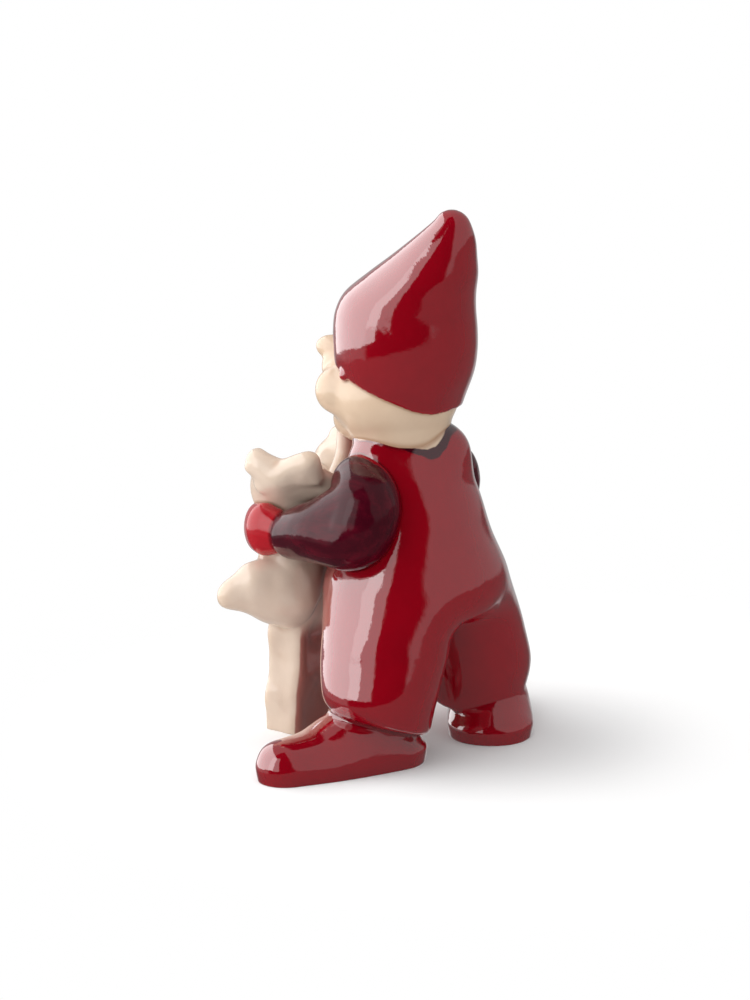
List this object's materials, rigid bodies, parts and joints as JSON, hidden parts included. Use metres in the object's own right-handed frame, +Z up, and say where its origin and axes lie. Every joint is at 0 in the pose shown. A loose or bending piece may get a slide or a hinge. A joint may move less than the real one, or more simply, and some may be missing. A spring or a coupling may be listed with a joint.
{
  "type": "christmas elf figurine",
  "caption": "Glazed ceramic elf with a tall pointed hat, standing on turned-out shoes and hugging a large puffy star.",
  "frame": {"origin": "on the table, under the centre of the bounding box", "axes": "+Z up, the elf faces -Y, its left hand is on +X"},
  "size_m": [0.1036, 0.0708, 0.1434],
  "materials": {
    "red_glaze": "thick deep red gloss glaze that pools darker in the creases",
    "burgundy_glaze": "brushed dark burgundy under a clear gloss glaze",
    "mitten_glaze": "brighter red gloss glaze",
    "cream_glaze": "warm cream semi-gloss glaze, thinner and browner on the edges",
    "skin_glaze": "warm cream semi-gloss glaze on the head and nose"
  },
  "bodies": {
    "root": {"torso": "red_glaze", "left_trouser_leg": "red_glaze", "right_trouser_leg": "red_glaze", "left_shoe": "red_glaze", "right_shoe": "red_glaze", "head": "skin_glaze", "hat": "red_glaze", "nose": "skin_glaze", "star": "cream_glaze", "left_mitten": "mitten_glaze", "right_mitten": "mitten_glaze", "left_sleeve": "burgundy_glaze", "right_sleeve": "burgundy_glaze"}
  },
  "joints": []
}
